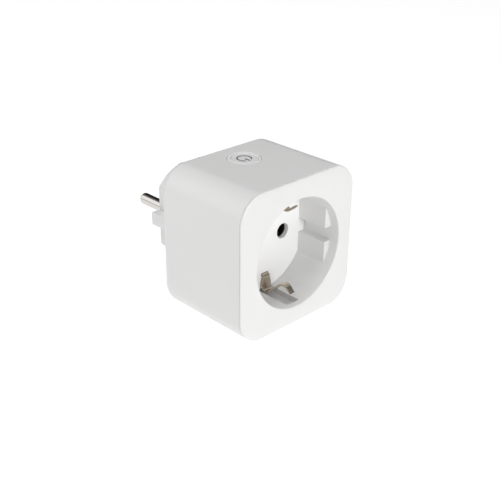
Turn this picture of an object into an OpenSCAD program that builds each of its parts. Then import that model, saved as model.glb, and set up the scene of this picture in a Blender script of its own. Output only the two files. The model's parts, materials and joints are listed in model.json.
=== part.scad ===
// Plug-in power meter with a round-pin earthed socket in front and the matching plug behind.
// X runs across the face, Y along the pins, Z up. The origin is the centre of the plug's
// mating face, so the pins point along +Y and the socket faces -Y.

/* [Body] */
// Width and height of the square body
body_w = 57.4; // [56.8:0.1:60]
// Depth of the body, from the socket face to the rear wall
body_d = 43.7; // [43.4:0.1:46]
// Radius of the four long edges
corner_r = 10.4; // [9.5:0.1:11]
// Wall thickness of the shells
wall = 2; // [1.8:0.1:2.1]
// Radius of the edge round the rear wall
rear_round = 3; // [1:0.5:3.5]
// How far the socket face falls away at its edge
crown = 0.9; // [0.4:0.1:1.2]
// Width of the curved border of the socket face
crown_w = 6; // [4:0.5:6.5]

/* [Socket] */
// Radius of the round recess
recess_r = 21.5; // [21.4:0.1:21.8]
// Depth of the recess
recess_depth = 17.8; // [17.5:0.1:18]
// Distance from the centre to the flat guides in the recess
guide_x = 18.2; // [17.8:0.1:18.6]
// Depth at which the guides begin
guide_front = 4.2; // [3.5:0.1:5]
// Width of the slot in each guide
guide_slot = 5.8; // [5.6:0.1:6.4]
// Distance between the two pin holes
pin_pitch = 19; // [19:0.1:19.2]
// Radius of the pin holes
hole_r = 3; // [2.7:0.1:3.1]

/* [Plug] */
// Radius of the plug's round body
plug_r = 18.5; // [18.4:0.1:18.8]
// Length of the plug's body behind the rear wall
plug_len = 17.4; // [17.2:0.1:18.4]
// Distance from the centre to the flats on the plug's sides
plug_flat_x = 16; // [15.8:0.1:16.4]
// Width of the rib along each flat
plug_rib_w = 5.4; // [5:0.1:5.6]
// Radius of the pins
pin_r = 2.4; // [2.3:0.05:2.4]
// Length of the pins beyond the plug's face
pin_len = 19; // [18.5:0.1:19.5]

/* [Button] */
// Distance of the button's centre behind the socket face
button_d = 29.5; // [29:0.1:30]
// Radius of the button
button_r = 5.2; // [5:0.1:5.3]
// Outer radius of the light ring
ring_r = 6.4; // [6.3:0.05:6.6]

/* [Earth clips] */
// Width of the spring clips
clip_w = 4.8; // [4:0.1:4.8]
// Thickness of the sprung metal
clip_t = 0.7; // [0.5:0.1:0.8]
// Distance from the centre to the crest of each clip
clip_crest_z = 15.3; // [15:0.1:15.5]

/* [Hidden] */
$fn = 48;

half_w = body_w / 2;
inner_w = half_w - wall;
front_y = -(body_d + plug_len);
seam_d = 1.4;            // depth of the joint between the front cover and the rear housing
plate_back = 2.4;
seam_gap = 0.1;
cup_wall = 1.5;
floor_t = 2;
floor_back = recess_depth + floor_t;
pocket_w = 6.2;          // the clips' pockets in the recess wall
pocket_front = 2.7;
pocket_z = 23.3;
post_xz = half_w - 7.4;  // the four screw posts stand on the body's diagonals
post_r = 2.8;
boss_r = 3.4;
boss_front = 24.2;
well_d = 31;             // depth of the bottom of each screw well
well_r = 3.1;
screw_r = 1.3;
screw_head_r = 2.7;
screw_fit = 0.02;
board_d = 38;
board_t = 1.6;
board_back = board_d + board_t;
plug_face_d = body_d + plug_len;
plug_floor_d = plug_face_d - 3;
plug_flange_d = body_d - wall - 1;
plug_flange_r = 20;
plug_face_round = 0.6;
pin_ring_r = 2.8;        // the shallow ring sunk round each pin where it leaves the plug's face
pin_ring_t = 0.5;
groove_z = 16.9;         // bottom of the plug's two earth grooves
groove_w = 8;
strap_w = 6;
strap_t = 0.8;
strap_cross_d = 56;
pin_x = pin_pitch / 2;
pin_waist_r = 2.2;
tail_r = 1.5;
sleeve_z = 10;
earth_hole_r = 2.7;
tower = 4.6;             // half width of the towers round the socket's contacts
tower_cavity = 3.6;
carrier_t = 1.2;
carrier_back = floor_back + carrier_t;
tower_back = 36.6;
slot_z = 15;             // height at which the clips pass through the recess floor
bend_r = 1.9;
crest_r = 3;
bend_d = 15;
bend_z = 19.3;
crest_d = 6.8;
root_d = 16.9;
root_r = 1;
tip_len = 2.3;
tip_w = 2.4;
root_w = 3.4;            // width of each clip's root where it comes through the recess floor
bridge_d = carrier_back + 0.1;
top_z = half_w;
flange_z = 25.3;
symbol_r = 2.7;
symbol_line = 0.5;
small_board_z = 17.6;
small_board_t = 1.2;
small_board_top = small_board_z + small_board_t;
board_screw_x = 7.8;     // the two screws that hold the button board under the top wall
board_screw_d = 35.6;
board_screw_r = 0.8;
tact_h = 3.4;
plunger_h = 1.1;
plunger_r = 1.7;
stem_z = small_board_top + tact_h + plunger_h + 0.05;
relay_x = -9.6;
relay_z = -19.6;
relay_d = 23.5;
relay_w = 18.4;
relay_h = 10.8;
relay_skin = 0.8;
coil_x = -4;
coil_z = relay_z + relay_h / 2;
yoke_x = 1;
pivot_d = 26.3;
contact_d = 33.8;        // depth of the relay's two contacts

// A rounded square as a polygon, with the steps of each corner worked out from its radius.
function rounded(half, r, steps = 12) = [
    for (q = [0 : 3], i = [0 : steps])
        let (a = q * 90 + i * 90 / steps, sx = (q == 0 || q == 3) ? 1 : -1, sz = q < 2 ? 1 : -1)
        [sx * (half - r) + r * cos(a), sz * (half - r) + r * sin(a)]];

function arc(centre, r, from, to, steps = 8) = [
    for (i = [0 : steps])
        let (a = from + (to - from) * i / steps)
        [centre[0] + r * cos(a), centre[1] + r * sin(a)]];

function unit(v) = v / norm(v);
function along(p, i) = unit(p[min(i + 1, len(p) - 1)] - p[max(i - 1, 0)]);
function beside(p, i, side) = p[i] + side * [-along(p, i)[1], along(p, i)[0]];

// The outline of a bent strip of even thickness along a path.
function ribbon(p, t) = concat(
    [for (i = [0 : len(p) - 1]) beside(p, i, t / 2)],
    [for (i = [len(p) - 1 : -1 : 0]) beside(p, i, -t / 2)]);

// Slope of the straight stretch between the clip's bend and its crest.
clip_run = [bend_d - crest_d, bend_z - (clip_crest_z + crest_r)];
clip_slope = atan2(clip_run[1], clip_run[0]) + asin((bend_r + crest_r) / norm(clip_run));

// Depth and distance from the centre along the upper clip, from behind the floor to the bend.
function root_path() = concat(
    [[bridge_d, slot_z]],
    arc([root_d + root_r, slot_z + root_r], root_r, 270, 180, 5),
    arc([bend_d, bend_z], bend_r, 0, 86, 7));
clip_end = [crest_d, clip_crest_z + crest_r] + crest_r * [cos(227), sin(227)];
function leaf_path() = concat(
    arc([bend_d, bend_z], bend_r, 94, 90 + clip_slope, 5),
    arc([crest_d, clip_crest_z + crest_r], crest_r, clip_slope - 90, -133, 9),
    [clip_end + tip_len * [-cos(43), sin(43)]]);

// Extrudes a shape drawn across the body, from one depth behind the socket face to another.
module slab(d0, d1)
    translate([0, front_y + d1, 0]) rotate([90, 0, 0]) linear_extrude(d1 - d0) children();
module rod(x, z, d0, d1, r)
    translate([x, front_y + d0, z]) rotate([-90, 0, 0]) cylinder(h = d1 - d0, r = r);
module cone(x, z, d0, d1, r0, r1)
    translate([x, front_y + d0, z]) rotate([-90, 0, 0]) cylinder(h = d1 - d0, r1 = r0, r2 = r1);
module block(x0, x1, d0, d1, z0, z1)
    translate([x0, front_y + d0, z0]) cube([x1 - x0, d1 - d0, z1 - z0]);
// A strip drawn in depth and height, extruded across the body.
module strip(outline, width, x = 0)
    translate([x - width / 2, front_y, 0]) rotate([90, 0, 90]) linear_extrude(width) polygon(outline);
module both_sides() for (s = [-1, 1]) scale([s, 1, 1]) children();
module at_corners() for (x = [-post_xz, post_xz], z = [-post_xz, post_xz]) translate([x, 0, z]) children();
module below() mirror([0, 0, 1]) children();

// Slices of the body's outline, shrinking along a quarter circle or ellipse, joined by one hull.
module domed(d_flat, d_end, inset, steps = 6)
    hull() for (i = [0 : steps]) let (a = i * 90 / steps)
        translate([0, front_y + d_flat + (d_end - d_flat) * sin(a), 0]) rotate([90, 0, 0])
            linear_extrude(0.01)
                polygon(rounded(half_w - inset * (1 - cos(a)), corner_r - inset * (1 - cos(a))));

module guide_blocks()
    for (s = [-1, 1], q = [-1, 1])
        block(s > 0 ? guide_x : -recess_r - 0.7, s > 0 ? recess_r + 0.7 : -guide_x,
              guide_front, floor_back, q > 0 ? guide_slot / 2 : -recess_r, q > 0 ? recess_r : -guide_slot / 2);

module front_cover() color("white") {
    difference() {
        union() {
            intersection() {
                domed(crown, 0, crown_w);
                slab(-1, crown + 0.5) square(2 * body_w, center = true);
            }
            slab(crown, seam_d) polygon(rounded(half_w, corner_r));
            slab(crown, plate_back) polygon(rounded(inner_w - 0.15, corner_r - wall));
            slab(plate_back, 5) difference() {
                polygon(rounded(inner_w - 0.15, corner_r - wall));
                polygon(rounded(inner_w - 1.35, corner_r - wall - 1.2));
            }
            rod(0, 0, crown, floor_back, recess_r + cup_wall);
            block(-pocket_w / 2 - cup_wall, pocket_w / 2 + cup_wall, 1.2, floor_back,
                  -pocket_z - cup_wall, pocket_z + cup_wall);
            at_corners() rod(0, 0, plate_back - 0.5, boss_front - 0.2, post_r);
        }
        rod(0, 0, -1, floor_back + 1, recess_r);
        for (s = [-1, 1])
            block(-pocket_w / 2, pocket_w / 2, pocket_front, floor_back + 1,
                  s > 0 ? recess_r - 3 : -pocket_z, s > 0 ? pocket_z : -recess_r + 3);
        at_corners() rod(0, 0, boss_front - 9, boss_front + 1, screw_r + screw_fit);
    }
    intersection() {
        difference() {
            guide_blocks();
            rod(0, 0, recess_depth, floor_back + 1, recess_r - 0.05);
        }
        rod(0, 0, 0, floor_back, recess_r + 0.6);
    }
}

// The plug's outline: a disc with two flats, a rib along each flat and a groove at top and bottom.
module plug_outline(gap = 0) difference() {
    intersection() {
        circle(plug_r + gap);
        union() {
            square([2 * (plug_flat_x + gap), 2 * plug_r + 1], center = true);
            square([2 * plug_r + 1, plug_rib_w + 2 * gap], center = true);
        }
    }
    for (s = [-1, 1]) translate([0, s * (groove_z + gap + 5)])
        square([groove_w - 2 * gap, 10], center = true);
}

module rear_housing() color("white") difference() {
    union() {
        difference() {
            union() {
                slab(seam_d + seam_gap, body_d - rear_round) polygon(rounded(half_w, corner_r));
                domed(body_d - rear_round - 0.005, body_d, rear_round);
            }
            slab(0, body_d - wall) polygon(rounded(inner_w, corner_r - wall));
        }
        at_corners() rod(0, 0, boss_front, body_d - 1, boss_r);
        for (s = [-1, 1]) block(-6, 6, board_back, body_d - 1, s * 22 - 0.75, s * 22 + 0.75);
        for (s = [-1, 1]) translate([s * board_screw_x, front_y + board_screw_d, small_board_top])
            cylinder(h = inner_w + 1 - small_board_top, r = 1.8);
    }
    slab(body_d - wall - 1, body_d + 1) plug_outline(0.02);
    at_corners() {
        rod(0, 0, boss_front - 1, body_d, screw_r + 0.4);
        rod(0, 0, well_d, body_d + 1, well_r);
    }
    translate([0, front_y + button_d, inner_w - 2]) cylinder(h = 10, r = ring_r + 0.1);
    for (s = [-1, 1]) translate([s * board_screw_x, front_y + board_screw_d, small_board_top - 1])
        cylinder(h = 6, r = board_screw_r + screw_fit);
}

module socket_floor() color("white") difference() {
    rod(0, 0, recess_depth, floor_back, recess_r - 0.1);
    both_sides() rod(pin_x, 0, recess_depth - 1, floor_back + 1, hole_r);
    for (s = [-1, 1]) block(-root_w / 2 - 0.2, root_w / 2 + 0.2, recess_depth - 1, floor_back + 1,
                            s * slot_z - 0.6, s * slot_z + 0.6);
}

module contact_carrier() color([0.1, 0.1, 0.1]) difference() {
    union() {
        block(-16, 16, floor_back, carrier_back, -6.5, 6.5);
        both_sides() block(pin_x - tower, pin_x + tower, carrier_back - 0.1, tower_back, -tower, tower);
    }
    both_sides() {
        rod(pin_x, 0, floor_back - 1, carrier_back + 1, hole_r + 0.3);
        block(pin_x - tower_cavity, pin_x + tower_cavity, carrier_back, tower_back + 1,
              -tower_cavity, tower_cavity);
    }
}

module plug_body() color("white") difference() {
    union() {
        slab(plug_flange_d, body_d - wall) circle(plug_flange_r);
        slab(body_d - wall - 0.1, plug_face_d - plug_face_round) plug_outline();
        plug_front();
    }
    slab(plug_flange_d - 1, plug_floor_d) intersection() {
        circle(plug_r - 3.3);
        square([2 * (plug_flat_x - 1.6), 2 * plug_r], center = true);
    }
    for (s = [-1, 1]) block(-strap_w / 2 - 0.1, strap_w / 2 + 0.1, strap_cross_d - 0.1,
                            strap_cross_d + strap_t + 0.1, s > 0 ? 14 : -20, s > 0 ? 20 : -14);
    both_sides() {
        rod(pin_x, 0, plug_floor_d - 1, plug_face_d, pin_waist_r + 0.02);
        rod(pin_x, 0, plug_face_d - pin_ring_t, plug_face_d + 1, pin_ring_r);
    }
    rod(0, sleeve_z, plug_floor_d - 1, plug_face_d + 1, earth_hole_r);
}
// The last stretch of the plug, sloped in all round its face between the flats and the grooves.
module plug_front() hull() {
    slab(plug_face_d - plug_face_round, plug_face_d - plug_face_round + 0.01) plug_core(0);
    slab(plug_face_d - 0.01, plug_face_d) plug_core(plug_face_round);
}
module plug_core(inset) intersection() {
    circle(plug_r - inset, $fn = 96);
    square([2 * (plug_flat_x - inset), 2 * (groove_z - inset)], center = true);
}

module inlet_pin(x) color("silver") translate([x, front_y, 0]) rotate([-90, 0, 0]) rotate_extrude()
    polygon(concat(
        [[0, board_d - 0.8], [tail_r, board_d - 0.8], [tail_r, plug_floor_d - 1.5], [pin_r + 0.8, plug_floor_d - 1.5],
         [pin_r + 0.8, plug_floor_d], [pin_waist_r, plug_floor_d],
         [pin_waist_r, plug_face_d], [pin_r, plug_face_d]],
        [for (i = [0 : 8]) let (a = i * 90 / 8) [pin_r * cos(a), plug_face_d + pin_len - 1.7 + 1.7 * sin(a)]]));
module live_pin() inlet_pin(pin_x);
module neutral_pin() inlet_pin(-pin_x);

// Half of a socket contact: a leaf that flares at the mouth and pinches the pin further in.
function contact_half() = [[22.2, 3.1], [24, 2.5], [26.5, 2.25], [29, 2.45], [32, 2.9], [35.2, 2.9]];
module socket_contact(x) color("gold") union() {
    for (s = [-1, 1]) strip(ribbon([for (p = contact_half()) [p[0], s * p[1]]], 0.6), 5, x);
    block(x - 2.5, x + 2.5, 34.9, 35.6, -3.2, 3.2);
    block(x - 1, x + 1, 35.5, board_back + 0.6, 2.4, 3.1);
}
module live_contact() socket_contact(pin_x);
module neutral_contact() socket_contact(-pin_x);

module clip_tip() translate([0, front_y, 0]) linear_extrude(40) polygon([
    [-clip_w / 2, bend_d + 2], [-clip_w / 2, bend_d - 2], [-tip_w / 2, crest_d - 2.6], [-tip_w / 2, 0],
    [tip_w / 2, 0], [tip_w / 2, crest_d - 2.6], [clip_w / 2, bend_d - 2], [clip_w / 2, bend_d + 2]]);
module earth_clip_top() color("tan") intersection() {
    strip(ribbon(leaf_path(), clip_t), clip_w);
    clip_tip();
}
module earth_clip_bottom() below() earth_clip_top();
// Each root widens from the recess floor to the bend.
module earth_root_top() color("tan") intersection() {
    strip(ribbon(root_path(), clip_t), clip_w);
    slab(0, board_d) polygon([
        [-root_w / 2, 0], [-root_w / 2, slot_z + 1], [-clip_w / 2, bend_z - 0.5], [-clip_w / 2, 40],
        [clip_w / 2, 40], [clip_w / 2, bend_z - 0.5], [root_w / 2, slot_z + 1], [root_w / 2, 0]]);
}
module earth_root_bottom() below() earth_root_top();
module earth_bridge() color("tan")
    block(-clip_w / 2, clip_w / 2, bridge_d, bridge_d + strap_t, -slot_z - 0.4, slot_z + 0.4);
module earth_link() color("tan") union() {
    block(-2, 2, bridge_d + strap_t, strap_cross_d, -0.4, 0.4);
    block(-2, 2, bridge_d + strap_t, bridge_d + 2 * strap_t, -2.5, 0.4);
    block(-2, 2, strap_cross_d - strap_t, strap_cross_d, -2.5, 0.4);
}

module plug_earth_strap() color("silver") union() {
    block(-strap_w / 2, strap_w / 2, strap_cross_d, strap_cross_d + strap_t, -groove_z - 0.9, groove_z + 0.9);
    for (s = [-1, 1]) block(-strap_w / 2, strap_w / 2, body_d + 2, plug_face_d - 1.2,
                            s > 0 ? groove_z + 0.1 : -groove_z - 0.9, s > 0 ? groove_z + 0.9 : -groove_z - 0.1);
}
module earth_pin_sleeve() color("silver") difference() {
    rod(0, sleeve_z, strap_cross_d + strap_t, plug_floor_d, earth_hole_r + 0.9);
    rod(0, sleeve_z, strap_cross_d, plug_floor_d + 1, earth_hole_r - 0.25);
}

module button_cap() color("white") translate([0, front_y + button_d, 0]) difference() {
    union() {
        translate([0, 0, flange_z - 1.1]) cylinder(h = 1, r = 6.6);
        translate([0, 0, flange_z - 0.2]) cylinder(h = top_z - flange_z, r = button_r);
        translate([0, 0, top_z - 0.2]) cylinder(h = 0.2, r1 = button_r, r2 = button_r - 0.2);
        translate([0, 0, stem_z]) cylinder(h = flange_z - stem_z, r = 1.8);
    }
    translate([0, 0, top_z - 0.3]) symbol_shape(0.02);
}
// The stand-by mark: a ring with a gap towards the socket, and a bar through the gap.
module symbol_shape(grow) linear_extrude(1) union() {
    difference() {
        circle(symbol_r + symbol_line / 2 + grow);
        circle(symbol_r - symbol_line / 2 - grow);
        polygon([[0, 0], [-4, -6.4], [4, -6.4]]);
    }
    translate([0, -1.85]) square([symbol_line + 2 * grow, symbol_r + 2 * grow], center = true);
}
module button_symbol() color("dimgray") translate([0, front_y + button_d, top_z - 0.3]) intersection() {
    symbol_shape(0);
    cylinder(h = 0.29, r = 5);
}
module light_ring() color("ivory") translate([0, front_y + button_d, 0]) difference() {
    union() {
        translate([0, 0, flange_z]) cylinder(h = inner_w - 0.3 - flange_z, r = 7.6);
        translate([0, 0, flange_z]) cylinder(h = top_z - 0.1 - flange_z, r = ring_r);
        both_sides() translate([6.9, -1.2, small_board_top + 1.2]) cube([0.9, 2.4, flange_z - small_board_top]);
    }
    translate([0, 0, flange_z - 1]) cylinder(h = 10, r = button_r + 0.1);
}

module button_board() color("darkgreen") difference() {
    block(-9.8, 9.8, 22.5, 37.4, small_board_z, small_board_top);
    for (s = [-1, 1]) translate([s * board_screw_x, front_y + board_screw_d, small_board_z - 1])
        cylinder(h = 4, r = 1);
    for (i = [-1.5 : 1.5])
        block(i * 2 - 0.4, i * 2 + 0.4, 36, 36.8, small_board_z - 1, small_board_top + 1);
}
module tact_switch_body() color("dimgray") difference() {
    block(-3, 3, button_d - 3, button_d + 3, small_board_top, small_board_top + tact_h);
    translate([0, front_y + button_d, small_board_top + 1.4]) cylinder(h = tact_h, r = plunger_r + 0.1);
}
module tact_switch_plunger() color("black")
    translate([0, front_y + button_d, small_board_top + 2.1]) cylinder(h = tact_h - 2.1 + plunger_h, r = plunger_r);
module status_leds() color("ivory") both_sides()
    block(6.6, 8.2, button_d - 0.8, button_d + 0.8, small_board_top, small_board_top + 0.8);
module board_header() color("gold") for (i = [-1.5 : 1.5]) union() {
    block(i * 2 - 0.3, i * 2 + 0.3, 36.1, 36.7, 16.4, small_board_top + 0.6);
    block(i * 2 - 0.3, i * 2 + 0.3, 36.1, board_back + 0.6, 16.4, 17);
}

module main_board() color("darkgreen") difference() {
    slab(board_d, board_back) polygon([
        [25.5, 10.5], [10.5, 25.5], [-10.5, 25.5], [-25.5, 10.5],
        [-25.5, -10.5], [-10.5, -25.5], [10.5, -25.5], [25.5, -10.5]]);
    both_sides() {
        rod(pin_x, 0, board_d - 1, board_back + 1, tail_r + 0.2);
        block(pin_x - 1.2, pin_x + 1.2, board_d - 1, board_back + 1, 2.2, 3.3);
    }
    block(-2.3, 2.3, board_d - 1, board_back + 1, -0.7, 0.7);
    for (i = [-1.5 : 1.5]) block(i * 2 - 0.4, i * 2 + 0.4, board_d - 1, board_back + 1, 16.3, 17.1);
    block(-24, -22.6, board_d - 1, board_back + 1, -6.2, 6.2);
}

module relay_case() color("royalblue") difference() {
    block(relay_x, relay_x + relay_w, relay_d, board_d - 0.05, relay_z, relay_z + relay_h);
    block(relay_x + relay_skin, relay_x + relay_w - relay_skin, relay_d + relay_skin, board_d - 0.9,
          relay_z + relay_skin, relay_z + relay_h - relay_skin);
}
module relay_coil() color("chocolate") difference() {
    union() {
        rod(coil_x, coil_z, 27.4, 36.1, 3.4);
        for (d = [27.2, 35.3]) rod(coil_x, coil_z, d, d + 0.9, 4.1);
    }
    rod(coil_x, coil_z, 27, 37, 1.55);
}
module relay_yoke() color("gray") union() {
    rod(coil_x, coil_z, 26.7, 36.5, 1.5);
    block(relay_x + 1.2, yoke_x + 1, 36.25, 37, coil_z - 3.2, coil_z + 3.2);
    block(yoke_x, yoke_x + 1, pivot_d, 36.5, coil_z - 3.2, coil_z + 3.2);
}
// The armature lies across the coil, hinged on the yoke's edge, and carries the moving contact.
module relay_armature() color("gray") union() {
    block(relay_x + 1.4, yoke_x + 2.4, pivot_d - 1.1, pivot_d - 0.1, coil_z - 3, coil_z + 3);
    block(yoke_x + 2, yoke_x + 2.4, pivot_d - 0.6, 35, coil_z - 2.4, coil_z + 2.4);
    translate([yoke_x + 2.3, front_y + contact_d, coil_z]) rotate([0, 90, 0]) cylinder(h = 0.9, r = 1.5);
}
module relay_contact() color("silver") union() {
    translate([yoke_x + 3.75, front_y + contact_d, coil_z]) rotate([0, 90, 0]) cylinder(h = 0.9, r = 1.5);
    block(yoke_x + 4.55, yoke_x + 5.4, 31.5, 37, coil_z - 2.4, coil_z + 2.4);
}

module bulk_capacitors() color("midnightblue") {
    rod(-12.8, 11.2, 26, board_d, 4);
    rod(-4.6, 10.6, 27, board_d, 3.15);
}
module film_capacitor() color("goldenrod") block(1.5, 14.5, 27, board_d, 8.6, 14.6);
module varistor() color("royalblue") union() {
    translate([17, front_y + 32, 11]) rotate([0, 90, 0]) cylinder(h = 3.4, r = 4.5);
    for (s = [-1, 1]) rod(18.7, 11 + s * 2.5, 34, board_d, 0.4);
}
module supply_inductor() color("chocolate") union() {
    rod(-16.6, -14, 29, 30, 4.1);
    rod(-16.6, -14, 29.9, 36.6, 3.4);
    rod(-16.6, -14, 36.5, board_d, 4.1);
}
module fuse_resistor() color("forestgreen") union() {
    translate([20.5, front_y + 34.5, -4.5]) cylinder(h = 9, r = 1.8);
    for (s = [-1, 1]) rod(20.5, s * 3.4, 34.5, board_d, 0.4);
}
module metering_chip() color("black") block(-5, 5, board_back, board_back + 1, 6.5, 10.4);
module supply_chip() color("black") block(-17, -12, board_back, board_back + 1, -10, -6);
module shunt_resistor() color("gray") union() {
    for (x = [14, 20]) block(x, x + 2, board_back, board_back + 0.5, -3, 3);
    block(14, 22, board_back + 0.45, board_back + 1, -3, 3);
}
module live_bar() color("peru") block(11.4, 13.9, board_back, board_back + 0.6, -2.5, 1.8);
module neutral_bar() color("peru") block(-13.9, -11.4, board_back, board_back + 0.6, -2.5, 6);
module radio_board() color("darkgreen") block(-23.7, -22.9, 23, board_d + 1, -6, 6);
module radio_shield() color("silver") block(-22.9, -20.7, 26, 36.5, -5, 5);

module housing_screws() color("dimgray") at_corners() {
    difference() {
        rod(0, 0, well_d - 0.05 - 12, well_d + 2, screw_r);
        rod(0, 0, well_d, well_d + 3, screw_r + 1);
    }
    difference() {
        rod(0, 0, well_d, well_d + 2, screw_head_r);
        for (a = [0, 90]) translate([0, front_y + well_d + 2, 0]) rotate([0, a, 0]) cube([3.2, 2, 0.7], center = true);
    }
}
module board_screws() color("dimgray")
    for (s = [-1, 1]) translate([s * board_screw_x, front_y + board_screw_d, 0]) union() {
        translate([0, 0, small_board_z - 1]) cylinder(h = 1, r = 1.6);
        translate([0, 0, small_board_z - 0.1]) cylinder(h = 5, r = board_screw_r);
    }

front_cover();
rear_housing();
socket_floor();
contact_carrier();
plug_body();
live_pin();
neutral_pin();
live_contact();
neutral_contact();
earth_clip_top();
earth_clip_bottom();
earth_root_top();
earth_root_bottom();
earth_bridge();
earth_link();
plug_earth_strap();
earth_pin_sleeve();
button_cap();
button_symbol();
light_ring();
button_board();
tact_switch_body();
tact_switch_plunger();
status_leds();
board_header();
main_board();
relay_case();
relay_coil();
relay_yoke();
relay_armature();
relay_contact();
bulk_capacitors();
film_capacitor();
varistor();
supply_inductor();
fuse_resistor();
metering_chip();
supply_chip();
shunt_resistor();
live_bar();
neutral_bar();
radio_board();
radio_shield();
housing_screws();
board_screws();
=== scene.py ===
import json
import math
import bmesh
import bpy
from mathutils import Matrix, Vector

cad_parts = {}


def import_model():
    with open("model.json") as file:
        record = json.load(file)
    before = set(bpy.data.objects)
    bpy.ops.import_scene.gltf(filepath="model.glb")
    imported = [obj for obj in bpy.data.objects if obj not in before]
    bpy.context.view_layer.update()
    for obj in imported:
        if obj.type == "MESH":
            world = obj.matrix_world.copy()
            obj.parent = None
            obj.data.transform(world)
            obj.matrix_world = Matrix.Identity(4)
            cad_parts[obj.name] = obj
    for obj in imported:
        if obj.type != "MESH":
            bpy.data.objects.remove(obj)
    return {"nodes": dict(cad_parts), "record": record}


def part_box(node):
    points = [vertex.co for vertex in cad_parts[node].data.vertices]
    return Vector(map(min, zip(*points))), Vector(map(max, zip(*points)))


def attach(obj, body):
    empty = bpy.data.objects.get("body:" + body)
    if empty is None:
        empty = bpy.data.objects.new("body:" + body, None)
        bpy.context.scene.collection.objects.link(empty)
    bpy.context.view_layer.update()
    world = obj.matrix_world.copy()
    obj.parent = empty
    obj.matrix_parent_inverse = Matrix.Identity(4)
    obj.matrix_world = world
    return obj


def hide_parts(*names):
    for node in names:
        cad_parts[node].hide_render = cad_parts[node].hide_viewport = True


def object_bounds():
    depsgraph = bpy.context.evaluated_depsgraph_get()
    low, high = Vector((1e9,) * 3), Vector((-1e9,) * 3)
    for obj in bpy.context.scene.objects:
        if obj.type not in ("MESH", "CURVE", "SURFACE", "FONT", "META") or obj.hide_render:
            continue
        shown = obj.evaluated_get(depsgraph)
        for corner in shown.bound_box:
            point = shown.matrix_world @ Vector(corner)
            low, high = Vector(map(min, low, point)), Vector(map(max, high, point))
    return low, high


# A white plug-in power meter. Shapes are worked out in millimetres: x across the socket face, d the
# depth behind it and z up. They become metres in the CAD model's frame only as each mesh is made.

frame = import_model()
cad_lo, cad_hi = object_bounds()
MM = 0.001
TAU = 2 * math.pi


def box_mm(node):
    lo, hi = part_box(node)
    return lo / MM, hi / MM


# ---- sizes read from the frame ------------------------------------------------------------------
cover_lo, cover_hi = box_mm("front_cover")
housing_lo, housing_hi = box_mm("rear_housing")
plug_hi = box_mm("plug_body")[1]
floor_lo, floor_hi = box_mm("socket_floor")
pin_lo, pin_hi = box_mm("live_pin")
cap_lo, cap_hi = box_mm("button_cap")
ring_hi = box_mm("light_ring")[1]
strap_lo, strap_hi = box_mm("plug_earth_strap")
clip_lo, clip_hi = box_mm("earth_clip_top")
root_hi = box_mm("earth_root_top")[1]
FRONT_Y = cover_lo.y
HALF = cover_hi.x
SEAM_BACK = housing_lo.y - FRONT_Y
BODY_D = housing_hi.y - FRONT_Y
PLUG_D = plug_hi.y - FRONT_Y
PLUG_R = plug_hi.x
FLOOR_D = floor_lo.y - FRONT_Y
FLOOR_BACK = floor_hi.y - FRONT_Y
BUTTON_Y = (cap_lo.y + cap_hi.y) / 2
TOP_Z = cap_hi.z
PIN_X = (pin_lo.x + pin_hi.x) / 2
PIN_TAIL_D = pin_lo.y - FRONT_Y
CLIP_W = clip_hi.x - clip_lo.x
ROOT_BACK = root_hi.y - FRONT_Y
STRAP_W = strap_hi.x - strap_lo.x

# ---- sizes the frame's boxes don't give, as in the CAD model ------------------------------------
# body
CORNER_R = 10.4
WALL = 2.0
SEAM_GAP = 0.1
COVER_BACK = SEAM_BACK - SEAM_GAP
REAR_ROUND = 3.0
REAR_CORE_R = 12.0
CROWN, CROWN_W = 0.9, 6.0
PLATE_BACK = 2.4
LIP_GAP, LIP_T, LIP_END = 0.15, 1.2, 5
# recess
RECESS_R = 21.5
CUP_R = RECESS_R + 1.5
GUIDE_X = 18.2
GUIDE_FRONT = 4.2
GUIDE_SLOT = 5.8
GUIDE_SUNK, GUIDE_OVER = 0.5, 1.2
POCKET_W = 6.2
POCKET_FRONT = 2.7
POCKET_Z = 23.3
POCKET_WALL = 1.5
POCKET_BACK_FRONT = 1.3
HOLE_R = 3.0
# plug
PLUG_FLAT_X = 16.0
PLUG_RIB = 5.4
GROOVE_Z = 16.9
GROOVE_W = 8.0
PLUG_FLOOR = 3.0
PLUG_WALL, PLUG_FLAT_WALL = 3.3, 1.6
FLANGE_R, FLANGE_T = 20.0, 1
STRAP_SLOT_D = BODY_D + 12.2
STRAP_SLOT_T = 1
STRAP_SLOT_Z = (14, 20)
PIN_R = 2.4
PIN_WAIST_R = 2.2
PIN_RING_R = 2.8
PIN_RING_T = 0.5
PIN_LEN = 19.0
PIN_TIP = 1.7
PIN_TAIL_R = 1.5
PIN_COLLAR_R, PIN_COLLAR_T = PIN_R + 0.8, 1.5
EARTH_HOLE_R = 2.7
EARTH_HOLE_Z = 10.0
# screws
POST_XZ = HALF - 7.4
CORNERS = [(x, z) for x in (-POST_XZ, POST_XZ) for z in (-POST_XZ, POST_XZ)]
BOSS_R = 3.4
BOSS_FRONT = 24.2
POST_R = 2.8
POST_END = BOSS_FRONT - 0.2
POST_BORE_D = 15.2
POST_ROOT = PLATE_BACK - 0.4
WELL_R = 3.1
WELL_D = 31.0
SCREW_R = 1.3
SHANK_GAP = 0.4
# button
BUTTON_R = 5.2
CAP_STEM_R = 1.8
CAP_FLANGE_R = 6.6
CAP_FLANGE_Z = (24.2, 25.2)
SYMBOL_R = 2.7
SYMBOL_LINE = 0.5
SYMBOL_GAP = 36
SYMBOL_BAR = (-0.75, -2.95)
RING_R = 6.4
RING_HEIGHT = 3.3
RING_FLANGE_R, RING_FLANGE_T = 7.6, 1.1
# earth clips: a bend, a crest and the root's bend, each (depth, height, radius)
CLIP_T = 0.7
BEND = (15.0, 19.3, 1.9)
CREST = (6.8, 18.3, 3.0)
ROOT = (17.9, 16.0, 1.0)
CREST_END = -133
TIP_ANGLE = 43
TIP_LEN = 2.3
TIP_W = 2.4
ROOT_W = 3.4

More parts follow.
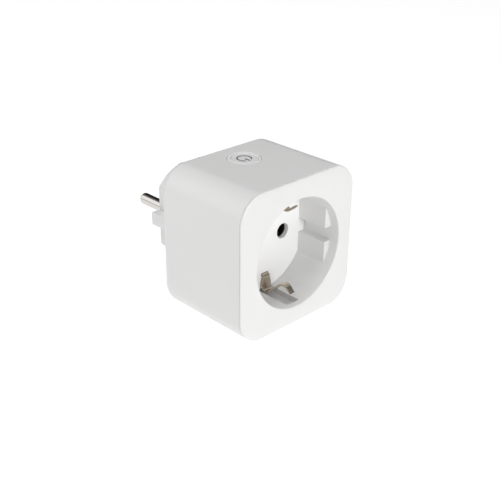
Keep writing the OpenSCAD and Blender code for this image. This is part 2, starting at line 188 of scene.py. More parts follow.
# ---- sizes of the finish ------------------------------------------------------------------------
EDGE = 0.12
RIM_R = 0.45
GUIDE_ROUND = 1.0
PLUG_ROUND = 0.7
RIB_ROUND = 0.6
HOLE_ROUND = 0.35
CAP_ROUND = 0.25
CAP_DISH = 0.12
CAP_TOP = TOP_Z - 0.05
MARK_LOW, MARK_TOP = CAP_TOP - 0.3, CAP_TOP - 0.02
RING_ROUND = 0.2
RING_TOP = TOP_Z - 0.06
WELL_FLARE, PIN_FLARE, EARTH_FLARE, BUTTON_FLARE = 0.3, 0.15, 0.4, 0.12
SLIP = 0.02
TOUCH = 0.01
SMALL_GAP = 0.1
KNUCKLE = 0.02
# how far a cutter runs past the face it leaves, and a flare past its edge
OVERCUT = 1
PAST = 0.05
# what counts as the same place when edges are picked, and what is merged as one point or dropped
NEAR = 0.001
WELD, SLIVER = 0.0005, 0.0002
SHARP_OVER = 32
# segments
CORNER_STEPS, SIDE_STEPS = 24, 20
CROWN_STEPS, RIM_STEPS, REAR_STEPS, TIP_STEPS = 10, 6, 12, 18
POST_SIDES, HOLE_SIDES, BUTTON_SIDES, FLOOR_SIDES = 48, 64, 128, 144


# ---- meshes -------------------------------------------------------------------------------------
def new_object(name, verts, faces):
    """A mesh object from points given as (x, depth, z) in millimetres."""
    mesh = bpy.data.meshes.new(name)
    mesh.from_pydata([(x * MM, (FRONT_Y + d) * MM, z * MM) for x, d, z in verts], [], faces)
    obj = bpy.data.objects.new(name, mesh)
    bpy.context.scene.collection.objects.link(obj)
    bm = bmesh.new()
    bm.from_mesh(mesh)
    bmesh.ops.recalc_face_normals(bm, faces=bm.faces)
    bm.to_mesh(mesh)
    bm.free()
    return obj


def quarter_turn(steps):
    """Angles from 0 to 90 degrees, in radians."""
    return [math.radians(90 * i / steps) for i in range(steps + 1)]


def arc(radius, a, b, steps):
    """Points round the origin, from one angle to another in radians."""
    return [(radius * math.cos(a + (b - a) * i / steps), radius * math.sin(a + (b - a) * i / steps))
            for i in range(steps + 1)]


def arc_points(centre, radius, start, end, steps):
    """Points round a centre, from one angle to another in degrees."""
    angles = [math.radians(start + (end - start) * i / steps) for i in range(steps + 1)]
    return [(centre[0] + radius * math.cos(a), centre[1] + radius * math.sin(a)) for a in angles]


def square_ring(half, radius):
    """Points of a rounded square, in the same order for any size: arc, side, arc, side."""
    points = []
    for q in range(4):
        sx, sz = [(1, 1), (-1, 1), (-1, -1), (1, -1)][q]
        centre = (sx * (half - radius), sz * (half - radius))
        for i in range(CORNER_STEPS + 1):
            a = math.radians(90 * q + 90 * i / CORNER_STEPS)
            points.append((centre[0] + radius * math.cos(a), centre[1] + radius * math.sin(a)))
        nx, nz = [(-1, 1), (-1, -1), (1, -1), (1, 1)][q]
        a = math.radians(90 * q + 90)
        start = points[-1]
        end = (nx * (half - radius) + radius * math.cos(a), nz * (half - radius) + radius * math.sin(a))
        for i in range(1, SIDE_STEPS):
            t = i / SIDE_STEPS
            points.append((start[0] + t * (end[0] - start[0]), start[1] + t * (end[1] - start[1])))
    return points


RING_ANGLES = [math.atan2(z, x) for x, z in square_ring(HALF, CORNER_R)]


def round_ring(radius):
    return [(radius * math.cos(a), radius * math.sin(a)) for a in RING_ANGLES]


def loft(name, rings, closed=True):
    """A solid through rings of equal length, each (depth, points). A closed one joins last to first."""
    n = len(rings[0][1])
    verts = [(x, d, z) for d, points in rings for x, z in points]
    faces = []
    pairs = len(rings) if closed else len(rings) - 1
    for k in range(pairs):
        a, b = k * n, (k + 1) % len(rings) * n
        faces += [(a + i, a + (i + 1) % n, b + (i + 1) % n, b + i) for i in range(n)]
    if not closed:
        faces += [tuple(range(n)), tuple((len(rings) - 1) * n + i for i in range(n))]
    return new_object(name, verts, faces)


def lathe(name, profile, x=0.0, z=0.0, steps=96):
    """A solid turned about a line along Y. profile is (radius, depth) points, from axis to axis or closed."""
    verts, rows = [], []
    turns = [TAU * i / steps for i in range(steps)]
    for r, d in profile:
        if r < 1e-9:
            rows.append([len(verts)] * steps)
            verts.append((x, d, z))
        else:
            rows.append([len(verts) + i for i in range(steps)])
            verts += [(x + r * math.cos(a), d, z + r * math.sin(a)) for a in turns]
    faces = []
    closed = profile[0][0] > 1e-9
    for k in range(len(rows) if closed else len(rows) - 1):
        a, b = rows[k], rows[(k + 1) % len(rows)]
        for i in range(steps):
            j = (i + 1) % steps
            face = []
            for v in (a[i], a[j], b[j], b[i]):
                if v not in face:
                    face.append(v)
            if len(face) > 2:
                faces.append(tuple(face))
    return new_object(name, verts, faces)


def stand(obj, x=0.0, y=0.0, z=0.0):
    """Turns a lathed solid upright, so that its depth becomes height, and sets it down at a point."""
    turn = Matrix(((1, 0, 0), (0, 0, -1), (0, 1, 0)))
    for v in obj.data.vertices:
        p = turn @ Vector((v.co.x, v.co.y - FRONT_Y * MM, v.co.z))
        v.co = p + Vector((x, y, z)) * MM
    obj.data.update()
    return obj


def prism(name, outline, d0, d1):
    """An outline of (x, z) points drawn out from one depth to another."""
    return loft(name, [(d0, outline), (d1, outline)], closed=False)


def box_solid(name, x0, x1, d0, d1, z0, z1):
    return prism(name, [(x0, z0), (x1, z0), (x1, z1), (x0, z1)], d0, d1)


def join(objs):
    """Several meshes as one object, each still a closed solid of its own."""
    bm = bmesh.new()
    for o in objs:
        bm.from_mesh(o.data)
    first = objs[0]
    bm.to_mesh(first.data)
    bm.free()
    for o in objs[1:]:
        bpy.data.objects.remove(o)
    return first


def combine(target, tool, operation):
    """Adds a solid to the target, or cuts it away, and removes it."""
    mod = target.modifiers.new("combine", "BOOLEAN")
    mod.operation, mod.object, mod.solver = operation, tool, "EXACT"
    graph = bpy.context.evaluated_depsgraph_get()
    mesh = bpy.data.meshes.new_from_object(target.evaluated_get(graph))
    target.modifiers.clear()
    target.data = mesh
    bpy.data.objects.remove(tool)
    return target


def round_edges(obj, chosen, width, steps=3):
    """Rounds the edges that chosen(edge) picks."""
    bm = bmesh.new()
    bm.from_mesh(obj.data)
    edges = [e for e in bm.edges if chosen(e)]
    bmesh.ops.bevel(bm, geom=edges, offset=width * MM, segments=steps, profile=0.5, affect="EDGES",
                    clamp_overlap=True)
    bm.to_mesh(obj.data)
    bm.free()
    return obj


def smooth(obj):
    """Smooth faces, with a crisp line along every edge that turns further than SHARP_OVER degrees."""
    bm = bmesh.new()
    bm.from_mesh(obj.data)
    bmesh.ops.remove_doubles(bm, verts=bm.verts, dist=WELD * MM)
    bmesh.ops.dissolve_degenerate(bm, edges=bm.edges, dist=SLIVER * MM)
    for f in bm.faces:
        f.smooth = True
    for e in bm.edges:
        e.smooth = len(e.link_faces) == 2 and e.calc_face_angle(0) < math.radians(SHARP_OVER)
    bm.to_mesh(obj.data)
    bm.free()
    mod = obj.modifiers.new("even_normals", "WEIGHTED_NORMAL")
    mod.keep_sharp = True
    return obj


# ---- materials ----------------------------------------------------------------------------------
def material(name, colour, roughness, metallic=0.0, variation=0.03, mottle=60, rough_spread=0.06,
             grain=2500, grain_depth=0.004, stretch=(1, 1, 1), **sockets):
    """A shader with cloudy colour, uneven gloss and a fine grain, all in the object's own coordinates."""
    mat = bpy.data.materials.new(name)
    mat.use_nodes = True
    nodes, links = mat.node_tree.nodes, mat.node_tree.links
    shader = nodes["Principled BSDF"]
    shader.inputs["Metallic"].default_value = metallic
    for key, value in sockets.items():
        shader.inputs[key.replace("_", " ")].default_value = value
    place = nodes.new("ShaderNodeTexCoord")
    scale = nodes.new("ShaderNodeMapping")
    scale.inputs["Scale"].default_value = stretch
    links.new(place.outputs["Object"], scale.inputs["Vector"])

    def noise(size, detail):
        n = nodes.new("ShaderNodeTexNoise")
        n.inputs["Scale"].default_value = size
        n.inputs["Detail"].default_value = detail
        links.new(scale.outputs["Vector"], n.inputs["Vector"])
        return n

    cloud = noise(mottle, 4)
    tint = nodes.new("ShaderNodeValToRGB")
    tint.color_ramp.elements[0].position, tint.color_ramp.elements[1].position = 0.3, 0.7
    tint.color_ramp.elements[0].color = [c * (1 - variation) for c in colour] + [1]
    tint.color_ramp.elements[1].color = [min(1, c * (1 + variation)) for c in colour] + [1]
    links.new(cloud.outputs["Fac"], tint.inputs["Fac"])
    links.new(tint.outputs["Color"], shader.inputs["Base Color"])
    smear = noise(mottle * 3, 3)
    gloss = nodes.new("ShaderNodeMapRange")
    gloss.inputs["To Min"].default_value = max(0.02, roughness - rough_spread)
    gloss.inputs["To Max"].default_value = roughness + rough_spread
    links.new(smear.outputs["Fac"], gloss.inputs["Value"])
    links.new(gloss.outputs["Result"], shader.inputs["Roughness"])
    if grain_depth:
        fine = noise(grain, 2)
        bump = nodes.new("ShaderNodeBump")
        bump.inputs["Strength"].default_value = 0.5
        bump.inputs["Distance"].default_value = grain_depth * MM
        links.new(fine.outputs["Fac"], bump.inputs["Height"])
        links.new(bump.outputs["Normal"], shader.inputs["Normal"])
    return mat


MATERIALS = {
    "white_abs": material("white_moulding", (0.80, 0.80, 0.795), 0.34, variation=0.008, grain_depth=0.006),
    # The recess floor gets a brighter base colour than the body's moulding (0.95 against 0.80). This is painted
    # light: it stands in for light that the recess walls keep off the floor.
    "white_abs_floor": material("white_recess_floor_painted_light", (0.95, 0.95, 0.945), 0.30, variation=0.006,
                                grain_depth=0.003),
    "inner_plastic": material("dark_inner_moulding", (0.018, 0.018, 0.018), 0.55, variation=0.2),
    "button_plastic": material("button_moulding", (0.80, 0.80, 0.80), 0.38, variation=0.008, grain_depth=0.003),
    "symbol_ink": material("symbol_ink", (0.10, 0.10, 0.105), 0.5, variation=0.15, mottle=900),
    "ring_diffuser": material("milky_ring", (0.87, 0.87, 0.865), 0.42, variation=0.01, grain_depth=0.002),
    "nickel": material("nickel_plate", (0.66, 0.635, 0.61), 0.1, 1.0, variation=0.04, rough_spread=0.04,
                       grain=900, grain_depth=0.002, stretch=(1, 0.08, 1)),
    "spring_bronze": material("spring_bronze", (0.52, 0.45, 0.37), 0.2, 1.0, variation=0.16, mottle=420,
                              rough_spread=0.09, grain=1800, grain_depth=0.004),
    "contact_brass": material("contact_brass", (0.62, 0.46, 0.20), 0.28, 1.0, variation=0.1),
    "copper": material("copper", (0.62, 0.29, 0.15), 0.35, 1.0, variation=0.12),
    "soft_iron": material("plated_iron", (0.42, 0.42, 0.42), 0.4, 1.0, variation=0.1),
    "screw_steel": material("dark_zinc", (0.16, 0.16, 0.165), 0.38, 1.0, variation=0.2, mottle=300),
    "circuit_board": material("green_board", (0.015, 0.10, 0.035), 0.4, variation=0.25, mottle=200),
    "black_plastic": material("black_moulding", (0.012, 0.012, 0.012), 0.5, variation=0.3),
    "relay_plastic": material("blue_case", (0.02, 0.06, 0.28), 0.35, variation=0.1),
    "capacitor_sleeve": material("dark_blue_sleeve", (0.012, 0.02, 0.09), 0.35, variation=0.15),
    "capacitor_box": material("yellow_box", (0.55, 0.33, 0.03), 0.35, variation=0.06),
    "varistor_coat": material("blue_lacquer", (0.02, 0.09, 0.35), 0.22, variation=0.1),
    "resistor_coat": material("green_lacquer", (0.05, 0.22, 0.07), 0.3, variation=0.1),
}
NODE_SLOTS = {s["node"]: s["material_slot"] for s in frame["record"]["subparts"]}


def dress(obj, slot_name):
    obj.data.materials.clear()
    obj.data.materials.append(MATERIALS[slot_name])
    return obj


def piece(obj, body, node, keep_shading=False):
    """Finishes a piece that stands for one CAD node: its shading, material, body and slot."""
    if not keep_shading:
        smooth(obj)
    slot_name = NODE_SLOTS[node]
    dress(obj, slot_name)
    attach(obj, body)
    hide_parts(node)
    return obj


# ---- front cover --------------------------------------------------------------------------------
def body_ring(inset):
    """The body's outline, set in by a distance."""
    return square_ring(HALF - inset, CORNER_R - inset)


def front_cover():
    rings = [(COVER_BACK, body_ring(EDGE)), (COVER_BACK - EDGE, body_ring(0))]
    for a in quarter_turn(CROWN_STEPS):
        rings.append((CROWN * (1 - math.sin(a)), body_ring(CROWN_W * (1 - math.cos(a)))))
    for a in quarter_turn(RIM_STEPS):
        rings.append((RIM_R * (1 - math.cos(a)), round_ring(RECESS_R + RIM_R * (1 - math.sin(a)))))
    lip = WALL + LIP_GAP
    rings += [(FLOOR_BACK, round_ring(RECESS_R)), (FLOOR_BACK, round_ring(CUP_R)),
              (PLATE_BACK, round_ring(CUP_R)), (PLATE_BACK, body_ring(lip + LIP_T)),
              (LIP_END, body_ring(lip + LIP_T)), (LIP_END, body_ring(lip)), (COVER_BACK, body_ring(lip))]
    cover = loft("front_cover_moulding", rings)
    backs = []
    back_x = POCKET_W / 2 + POCKET_WALL
    for s in (-1, 1):
        z0, z1 = sorted((s * (RECESS_R + SMALL_GAP), s * (POCKET_Z + POCKET_WALL)))
        backs.append(box_solid("pocket_back", -back_x, back_x, POCKET_BACK_FRONT, FLOOR_BACK - TOUCH, z0, z1))
    post = [(SCREW_R, POST_BORE_D), (SCREW_R, POST_END), (POST_R, POST_END), (POST_R, POST_ROOT),
            (0, POST_ROOT), (0, POST_BORE_D)]
    backs += [lathe("post", post, x, z, POST_SIDES) for x, z in CORNERS]
    for b in backs:
        combine(cover, b, "UNION")
    for s in (-1, 1):
        z0, z1 = sorted((s * (RECESS_R - 3 * OVERCUT), s * POCKET_Z))
        pocket = box_solid("pocket", -POCKET_W / 2, POCKET_W / 2, POCKET_FRONT, FLOOR_BACK + OVERCUT, z0, z1)
        combine(cover, pocket, "DIFFERENCE")
    for sx in (-1, 1):
        for sz in (-1, 1):
            combine(cover, guide(sx, sz), "UNION")
    return piece(cover, "casing", "front_cover")


def guide(sx, sz):
    """One of the flat guides at the sides of the recess, with its front edge rounded."""
    buried = RECESS_R + GUIDE_SUNK
    z_edge = math.sqrt(RECESS_R**2 - GUIDE_X**2) + GUIDE_OVER
    a0, a1 = math.asin(GUIDE_SLOT / 2 / buried), math.asin(z_edge / buried)
    outline = [(GUIDE_X, GUIDE_SLOT / 2)] + arc(buried, a0, a1, 14) + [(GUIDE_X, z_edge)]
    solid = prism("guide", [(sx * x, sz * z) for x, z in outline], GUIDE_FRONT, FLOOR_D)

    def front_or_slot(e):
        a, b = (v.co / MM for v in e.verts)
        m = (a + b) / 2
        at_front = all(abs(p.y - FRONT_Y - GUIDE_FRONT) < NEAR for p in (a, b))
        on_chord = abs(m.x - sx * GUIDE_X) < NEAR
        in_slot = abs(m.z - sz * GUIDE_SLOT / 2) < NEAR
        return (at_front and (on_chord or in_slot)) or (on_chord and in_slot)

    return round_edges(solid, front_or_slot, GUIDE_ROUND, 5)


# ---- rear housing -------------------------------------------------------------------------------
def plug_outline(gap=0.0):
    """A disc with two flats, a rib along each flat and a groove at top and bottom, anticlockwise."""
    r, flat, rib = PLUG_R + gap, PLUG_FLAT_X + gap, PLUG_RIB / 2 + gap
    groove, depth = GROOVE_W / 2 - gap, GROOVE_Z + gap
    a_rib, a_flat, a_groove = math.asin(rib / r), math.acos(flat / r), math.acos(groove / r)
    one = arc(r, 0, a_rib, 6)[1:] + [(flat, rib)] + arc(r, a_flat, a_groove, 20) + [(groove, depth)]
    half = one + [(-x, z) for x, z in reversed(one)]
    rest = [(-x, -z) for x, z in half]
    return [(r, 0.0)] + half + [(-r, 0.0)] + rest


def mouth(radius, face, flare):
    """The last points of a cutter that leaves a face through a mouth flared at 45 degrees."""
    wide = radius + flare + PAST
    return [(radius, face - flare), (wide, face + PAST), (wide, face + OVERCUT), (0, face + OVERCUT)]


def rear_housing():
    rings = [(SEAM_BACK, body_ring(EDGE)), (SEAM_BACK + EDGE, body_ring(0))]
    for a in quarter_turn(REAR_STEPS):
        rings.append((BODY_D - REAR_ROUND * (1 - math.sin(a)), body_ring(REAR_ROUND * (1 - math.cos(a)))))
    rings += [(BODY_D, round_ring(REAR_CORE_R)), (BODY_D - WALL, round_ring(REAR_CORE_R)),
              (BODY_D - WALL, body_ring(WALL)), (SEAM_BACK, body_ring(WALL))]
    housing = loft("rear_housing_moulding", rings)
    boss = [(0, BOSS_FRONT), (BOSS_R, BOSS_FRONT), (BOSS_R, BODY_D - OVERCUT), (0, BODY_D - OVERCUT)]
    for x, z in CORNERS:
        combine(housing, lathe("boss", boss, x, z, POST_SIDES), "UNION")
    plug_hole = prism("plug_hole", plug_outline(SLIP), BODY_D - WALL - OVERCUT, BODY_D + OVERCUT)
    combine(housing, plug_hole, "DIFFERENCE")
    shank_r = SCREW_R + SHANK_GAP
    well = [(0, BOSS_FRONT - OVERCUT), (shank_r, BOSS_FRONT - OVERCUT), (shank_r, WELL_D), (WELL_R, WELL_D)]
    well += mouth(WELL_R, BODY_D, WELL_FLARE)
    for x, z in CORNERS:
        combine(housing, lathe("well", well, x, z, HOLE_SIDES), "DIFFERENCE")
    hole_r, past, below, above = RING_R + SMALL_GAP, 0.03, -4, 3
    wide = hole_r + BUTTON_FLARE + past
    hole = [(0, below), (hole_r, below), (hole_r, -BUTTON_FLARE), (wide, past), (wide, above), (0, above)]
    combine(housing, stand(lathe("button_hole", hole), 0, BUTTON_Y, HALF), "DIFFERENCE")
    return piece(housing, "casing", "rear_housing")


# ---- plug ---------------------------------------------------------------------------------------
def plug_body():
    inner = BODY_D - WALL
    body = prism("plug_body_moulding", plug_outline(), inner, PLUG_D)

    def at_end(e):
        return all(abs(v.co.y / MM - PLUG_D - FRONT_Y) < NEAR for v in e.verts)

    def on_rib(e):
        a, b = (v.co / MM for v in e.verts)
        lengthwise = abs(a.x - b.x) < NEAR and abs(a.z - b.z) < NEAR
        return lengthwise and abs(a.x) > PLUG_FLAT_X + 1 and abs(abs(a.z) - PLUG_RIB / 2) < NEAR

    round_edges(body, at_end, PLUG_ROUND, 4)
    round_edges(body, on_rib, RIB_ROUND, 4)
    flange = [(0, inner - FLANGE_T), (FLANGE_R, inner - FLANGE_T), (FLANGE_R, inner - TOUCH),
              (0, inner - TOUCH)]
    combine(body, lathe("flange", flange, steps=BUTTON_SIDES), "UNION")
    cavity_r, cavity_x = PLUG_R - PLUG_WALL, PLUG_FLAT_X - PLUG_FLAT_WALL
    a = math.acos(cavity_x / cavity_r)
    side = arc(cavity_r, a, math.pi - a, 24)
    cavity = side + [(-x, -z) for x, z in side]
    combine(body, prism("cavity", cavity, inner - 2 * OVERCUT, PLUG_D - PLUG_FLOOR), "DIFFERENCE")
    start = PLUG_D - PLUG_FLOOR - OVERCUT
    waist_r, ring_d = PIN_WAIST_R + SLIP, PLUG_D - PIN_RING_T
    pin_hole = [(0, start), (waist_r, start), (waist_r, ring_d), (PIN_RING_R, ring_d)]
    pin_hole += mouth(PIN_RING_R, PLUG_D, PIN_FLARE)
    for x in (-PIN_X, PIN_X):
        combine(body, lathe("pin_hole", pin_hole, x, 0, HOLE_SIDES), "DIFFERENCE")
    earth_hole = [(0, start), (EARTH_HOLE_R, start)] + mouth(EARTH_HOLE_R, PLUG_D, EARTH_FLARE)
    combine(body, lathe("earth_hole", earth_hole, 0, EARTH_HOLE_Z, HOLE_SIDES), "DIFFERENCE")
    slot_x = STRAP_W / 2 + SMALL_GAP
    for s in (-1, 1):
        z0, z1 = sorted(s * z for z in STRAP_SLOT_Z)
        slot = box_solid("strap_slot", -slot_x, slot_x, STRAP_SLOT_D, STRAP_SLOT_D + STRAP_SLOT_T, z0, z1)
        combine(body, slot, "DIFFERENCE")
    return piece(body, "casing", "plug_body")


def inlet_pin(name, node, x):
    tail_flare = 0.2
    collar_d = PLUG_D - PLUG_FLOOR
    ring_d = PLUG_D - PIN_RING_T
    tip_d = PLUG_D + PIN_LEN
    profile = [(0, PIN_TAIL_D), (PIN_TAIL_R - tail_flare, PIN_TAIL_D), (PIN_TAIL_R, PIN_TAIL_D + tail_flare),
               (PIN_TAIL_R, collar_d - PIN_COLLAR_T), (PIN_COLLAR_R, collar_d - PIN_COLLAR_T),
               (PIN_COLLAR_R, collar_d), (PIN_WAIST_R, collar_d), (PIN_WAIST_R, ring_d),
               (PIN_R - SMALL_GAP, ring_d), (PIN_R, ring_d + SMALL_GAP)]
    for a in quarter_turn(TIP_STEPS)[:-1]:
        profile.append((PIN_R * math.cos(a), tip_d - PIN_TIP + PIN_TIP * math.sin(a)))
    profile.append((0, tip_d))
    return piece(lathe(name, profile, x), "casing", node)


# ---- earth clips --------------------------------------------------------------------------------
run = (BEND[0] - CREST[0], BEND[1] - CREST[1])
CLIP_SLOPE = math.degrees(math.atan2(run[1], run[0]) + math.asin((BEND[2] + CREST[2]) / math.hypot(*run)))


def leaf_path():
    """The sprung strip's middle line: the bend, a straight, the crest and the turned-out tip."""
    path = arc_points(BEND[:2], BEND[2], 90, 90 + CLIP_SLOPE, 14)
    crest = arc_points(CREST[:2], CREST[2], CLIP_SLOPE - 90, CREST_END, 22)
    a, b = path[-1], crest[0]
    path += [(a[0] + (b[0] - a[0]) * i / 6, a[1] + (b[1] - a[1]) * i / 6) for i in range(1, 6)]
    path += crest
    end = path[-1]
    turn = math.radians(TIP_ANGLE)
    path += [(end[0] - TIP_LEN * math.cos(turn) * i / 6, end[1] + TIP_LEN * math.sin(turn) * i / 6)
             for i in range(1, 7)]
    return path


def root_path():
    """The fixed strip's middle line, from behind the recess floor to the top of the bend."""
    path = [(ROOT_BACK + (ROOT[0] - ROOT_BACK) * i / 4, ROOT[1] - ROOT[2]) for i in range(4)]
    path += arc_points(ROOT[:2], ROOT[2], 270, 180, 10)
    path += [(BEND[0] + BEND[2], ROOT[1] + (BEND[1] - ROOT[1]) * i / 4) for i in range(1, 4)]
    return path + arc_points(BEND[:2], BEND[2], 0, 90, 16)


def strip(name, path, width_at, side, bulging_start=False, hollow_end=False, levels=6):
    """A bent strip with rounded edges along a path of (depth, height). A bulging start fits in a hollow
    end, so that two strips meet in a knuckle that can turn."""
    verts, faces = [], []
    ring = 2 * (levels + 1)
    half_t = CLIP_T / 2
    for i, p in enumerate(path):
        before, after = path[max(i - 1, 0)], path[min(i + 1, len(path) - 1)]
        t = Vector((after[0] - before[0], after[1] - before[1])).normalized()
        n = Vector((-t.y, t.x))
        w = width_at(p) / 2
        row = []
        for j in range(levels + 1):
            h = half_t * math.sin(math.pi * (j / levels - 0.5))
            shift = 0.0
            if i == 0 and bulging_start:
                shift = -math.sqrt(half_t**2 - h * h)
            if i == len(path) - 1 and hollow_end:
                shift = -math.sqrt((half_t + KNUCKLE) ** 2 - h * h)
            edge = w - (half_t * 0.5) * (1 - math.sqrt(max(0.0, 1 - (h / half_t) ** 2)))
            row.append((edge, p[0] + n.x * h + t.x * shift, p[1] + n.y * h + t.y * shift))
        verts += [(x, d, side * z) for x, d, z in row] + [(-x, d, side * z) for x, d, z in reversed(row)]
    for i in range(len(path) - 1):
        a, b = i * ring, (i + 1) * ring
        faces += [(a + j, a + (j + 1) % ring, b + (j + 1) % ring, b + j) for j in range(ring)]
    for base in (0, (len(path) - 1) * ring):
        faces += [(base + j, base + j + 1, base + ring - 2 - j, base + ring - 1 - j) for j in range(levels)]
    return new_object(name, verts, faces)


def leaf_width(p):
    """Full width at the bend, narrowing evenly to the tip."""
    start, length = BEND[0] - 2, BEND[0] - CREST[0] + 0.6
    share = min(1.0, max(0.0, (start - p[0]) / length))
    return CLIP_W + (TIP_W - CLIP_W) * share


def root_width(p):
    """Narrow at the recess floor, widening to the bend."""
    length = BEND[1] - 0.5 - ROOT[1]
    share = min(1.0, max(0.0, (p[1] - ROOT[1]) / length))
    return ROOT_W + (CLIP_W - ROOT_W) * share * share * (3 - 2 * share)


def earth_clip(which, side):
    leaf = strip(f"earth_clip_{which}_leaf", leaf_path(), leaf_width, side, bulging_start=True)
    piece(leaf, f"clip_{which}", f"earth_clip_{which}")
    root = strip(f"earth_clip_{which}_root", root_path(), root_width, side, hollow_end=True)
    piece(root, "casing", f"earth_root_{which}")


# ---- recess floor -------------------------------------------------------------------------------
def socket_floor():
    r = RECESS_R - SMALL_GAP
    disc = [(0, FLOOR_D), (r - SMALL_GAP, FLOOR_D), (r, FLOOR_D + SMALL_GAP), (r, FLOOR_BACK), (0, FLOOR_BACK)]
    plate = lathe("socket_floor_plate", disc, steps=FLOOR_SIDES)
    start, mouth_r = FLOOR_D - OVERCUT, HOLE_R + 0.5
    hole = [(0, start), (mouth_r, start), (mouth_r, FLOOR_D - SLIP)]
    hole += arc_points((HOLE_R + HOLE_ROUND, FLOOR_D + HOLE_ROUND), HOLE_ROUND, 270, 180, 5)
    hole += [(HOLE_R, FLOOR_BACK + OVERCUT), (0, FLOOR_BACK + OVERCUT)]
    for x in (-PIN_X, PIN_X):
        combine(plate, lathe("hole", hole, x, 0, HOLE_SIDES), "DIFFERENCE")
    slot_x, slot_z = ROOT_W / 2 + 0.2, 0.6
    for s in (-1, 1):
        z = s * (ROOT[1] - ROOT[2])
        slot = box_solid("slot", -slot_x, slot_x, start, FLOOR_BACK + OVERCUT, z - slot_z, z + slot_z)
        combine(plate, slot, "DIFFERENCE")
    return piece(plate, "casing", "socket_floor")


# ---- button -------------------------------------------------------------------------------------
def button_cap():
    """The stem, the flange that holds the cap in, and the cap with a rounded edge and a dished top."""
    low, high = CAP_FLANGE_Z
    edge = 0.2
    profile = [(0, cap_lo.z), (CAP_STEM_R - edge, cap_lo.z), (CAP_STEM_R, cap_lo.z + edge), (CAP_STEM_R, low),
               (CAP_FLANGE_R - edge, low), (CAP_FLANGE_R, low + edge), (CAP_FLANGE_R, high - edge),
               (CAP_FLANGE_R - edge, high), (BUTTON_R, high), (BUTTON_R, CAP_TOP - CAP_ROUND)]
    flat_r = BUTTON_R - CAP_ROUND
    profile += arc_points((flat_r, CAP_TOP - CAP_ROUND), CAP_ROUND, 0, 90, 5)[1:]
    profile += [(flat_r - flat_r * i / 10, CAP_TOP - CAP_DISH * (1 - (1 - i / 10) ** 2)) for i in range(1, 10)]
    profile.append((0, CAP_TOP - CAP_DISH))
    cap = stand(lathe("button_cap_moulding", profile, steps=BUTTON_SIDES), 0, BUTTON_Y, 0)
    return piece(cap, "button", "button_cap")


def rounded_stroke(points, width, steps=8):
    """The outline of a line of even width with round ends, along (x, y) points."""
    left, right = [], []
    n, r = len(points), width / 2
    for i in range(n):
        a, b = points[max(i - 1, 0)], points[min(i + 1, n - 1)]
        t = Vector((b[0] - a[0], b[1] - a[1])).normalized()
        side = Vector((-t.y, t.x)) * width / 2
        left.append((points[i][0] + side.x, points[i][1] + side.y))
        right.append((points[i][0] - side.x, points[i][1] - side.y))
    outline = list(left)
    for end, inner in ((-1, -2), (0, 1)):
        c, d = Vector(points[end]), Vector(points[end]) - Vector(points[inner])
        start = math.atan2(d.y, d.x) + math.pi / 2
        turns = [start - math.pi * i / steps for i in range(1, steps)]
        outline += [(c.x + r * math.cos(a), c.y + r * math.sin(a)) for a in turns]
        outline += list(reversed(right)) if end == -1 else []
    return outline


def button_symbol():
    """The stand-by mark, a thin inlay: a ring with a gap towards the socket and a bar through the gap."""
    ring = arc_points((0, 0), SYMBOL_R, -90 + SYMBOL_GAP, 270 - SYMBOL_GAP, 64)
    bar = [(0, y) for y in SYMBOL_BAR]
    solids = []
    for part in (ring, bar):
        outline = rounded_stroke(part, SYMBOL_LINE)
        solids.append(loft("mark", [(MARK_LOW, outline), (MARK_TOP, outline)], closed=False))
    mark = join(solids)
    mark.name = "button_symbol_inlay"
    stand(mark, 0, BUTTON_Y, 0)
    for v in mark.data.vertices:
        v.co.y = 2 * BUTTON_Y * MM - v.co.y
    mark.data.flip_normals()
    return piece(mark, "button", "button_symbol")


def light_ring():
    """The milky ring between the cap and the housing, with a flange inside."""
    inner, outer, r = BUTTON_R + 0.08, RING_R, RING_ROUND
    low = ring_hi.z - RING_HEIGHT
    high = low + RING_FLANGE_T
    profile = [(inner, low), (RING_FLANGE_R, low), (RING_FLANGE_R, high), (outer, high), (outer, RING_TOP - r)]
    profile += arc_points((outer - r, RING_TOP - r), r, 0, 90, 4)[1:]
    profile += arc_points((inner + r, RING_TOP - r), r, 90, 180, 4)
    ring = stand(lathe("light_ring_guide", profile, steps=BUTTON_SIDES), 0, BUTTON_Y, 0)
    return piece(ring, "casing", "light_ring")


front_cover()
rear_housing()
plug_body()
inlet_pin("live_pin_turned", "live_pin", PIN_X)
inlet_pin("neutral_pin_turned", "neutral_pin", -PIN_X)
earth_clip("top", 1)
earth_clip("bottom", -1)
socket_floor()
button_cap()
button_symbol()
light_ring()

# ---- the CAD nodes that stay --------------------------------------------------------------------
for name, node in frame["nodes"].items():
    if not node.hide_render:
        node.data.materials.clear()
        node.data.materials.append(MATERIALS[NODE_SLOTS[name]])

# ---- stage --------------------------------------------------------------------------------------
OBJECT_CENTRE = Vector((0, (cad_lo.y + cad_hi.y) / 2, 0))
FLOOR_REACH = 6.0
FLOOR_GREY, FLOOR_GLOW = 0.3, 0.82
WORLD_STRENGTH = 0.25
CARD_DIRECTION, CARD_DISTANCE, CARD_SIZE = (0.55, 0.65, 0.34), 0.5, 0.5
# name, azimuth, elevation, distance and size in metres, power
SOFTBOXES = [
    ("front_box", -8, 14, 1.6, 0.45, 9.9),
    ("left_box", -90, 62, 1.2, 0.6, 2.3),
    ("top_box", 0, 84, 1.2, 0.6, 4.4),
    ("rear_box", -138, 26, 1.2, 0.9, 2.5),
]
# the camera, from a fit to the edges in the photo: angles in degrees, lengths in millimetres
AZIMUTH, ELEVATION, ROLL = -44.1, 26.3, 0.56
DISTANCE, ACROSS, ABOVE = 318.7, 17.41, -1.045
SENSOR = 36
FOCAL_PX, IMAGE_PX = 878, 500
LENS = FOCAL_PX * SENSOR / IMAGE_PX


def direction(azimuth, elevation):
    """The way from the object to a light or the camera, 0 being straight in front of the socket."""
    a, e = math.radians(azimuth), math.radians(elevation)
    return Vector((math.sin(a) * math.cos(e), -math.cos(a) * math.cos(e), math.sin(e)))


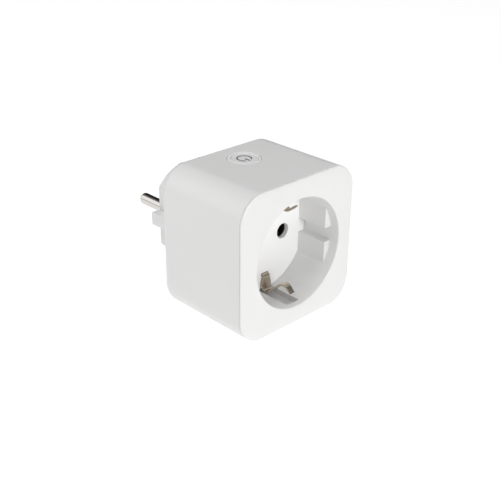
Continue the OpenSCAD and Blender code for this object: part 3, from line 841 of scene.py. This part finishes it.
def sheet(name, half, z=0.0):
    """A flat square for the stage."""
    mesh = bpy.data.meshes.new(name)
    corners = [(-half, -half, z), (half, -half, z), (half, half, z), (-half, half, z)]
    mesh.from_pydata(corners, [], [(0, 1, 2, 3)])
    obj = bpy.data.objects.new(name, mesh)
    bpy.context.scene.collection.objects.link(obj)
    return obj


def stage_material(obj, name, grey, roughness):
    mat = bpy.data.materials.new(name)
    mat.use_nodes = True
    shader = mat.node_tree.nodes["Principled BSDF"]
    shader.inputs["Base Color"].default_value = (grey, grey, grey, 1)
    shader.inputs["Roughness"].default_value = roughness
    obj.data.materials.append(mat)
    return shader


def floor():
    """A pale floor that glows evenly, for the photo's white ground."""
    obj = sheet("floor", FLOOR_REACH, cad_lo.z)
    shader = stage_material(obj, "pale_floor", FLOOR_GREY, 0.9)
    shader.inputs["Specular IOR Level"].default_value = 0.0
    shader.inputs["Emission Color"].default_value = (1, 1, 1, 1)
    shader.inputs["Emission Strength"].default_value = FLOOR_GLOW


def softbox(name, azimuth, elevation, distance, size, power):
    """A square soft light, placed by the direction it comes from and aimed at the object."""
    light = bpy.data.lights.new(name, "AREA")
    light.size, light.energy = size, power
    obj = bpy.data.objects.new(name, light)
    bpy.context.scene.collection.objects.link(obj)
    away = direction(azimuth, elevation)
    obj.location = OBJECT_CENTRE + away * distance
    obj.rotation_mode = "QUATERNION"
    obj.rotation_quaternion = (-away).to_track_quat("-Z", "Y")
    obj.visible_camera = False


def dark_card():
    """A black card that only shows in reflections, for the dark band along the pins."""
    away = Vector(CARD_DIRECTION).normalized()
    obj = sheet("dark_card", CARD_SIZE / 2)
    stage_material(obj, "dark_card", 0.01, 1.0)
    obj.location = OBJECT_CENTRE + away * CARD_DISTANCE
    obj.rotation_mode = "QUATERNION"
    obj.rotation_quaternion = away.to_track_quat("Z", "Y")
    obj.visible_camera = obj.visible_diffuse = obj.visible_shadow = obj.visible_transmission = False


def camera():
    """The camera, off the middle of the body's front by a distance and a small move sideways and up."""
    back = direction(AZIMUTH, ELEVATION)
    right = (-back).cross(Vector((0, 0, 1))).normalized()
    up = right.cross(-back)
    r = math.radians(ROLL)
    right, up = right * math.cos(r) + up * math.sin(r), up * math.cos(r) - right * math.sin(r)
    data = bpy.data.cameras.new("camera")
    data.sensor_width, data.lens, data.clip_start = SENSOR, LENS, 0.01
    obj = bpy.data.objects.new("camera", data)
    bpy.context.scene.collection.objects.link(obj)
    place = Vector((0, FRONT_Y + CROWN, 0)) + back * DISTANCE - right * ACROSS - up * ABOVE
    obj.matrix_world = Matrix.Translation(place * MM) @ Matrix((right, up, back)).transposed().to_4x4()
    bpy.context.scene.camera = obj


def world():
    studio = bpy.data.worlds.new("studio")
    studio.use_nodes = True
    background = studio.node_tree.nodes["Background"]
    background.inputs["Color"].default_value = (1, 1, 1, 1)
    background.inputs["Strength"].default_value = WORLD_STRENGTH
    bpy.context.scene.world = studio


floor()
world()
for settings in SOFTBOXES:
    softbox(*settings)
dark_card()
camera()
bpy.context.scene.view_settings.view_transform = "Standard"
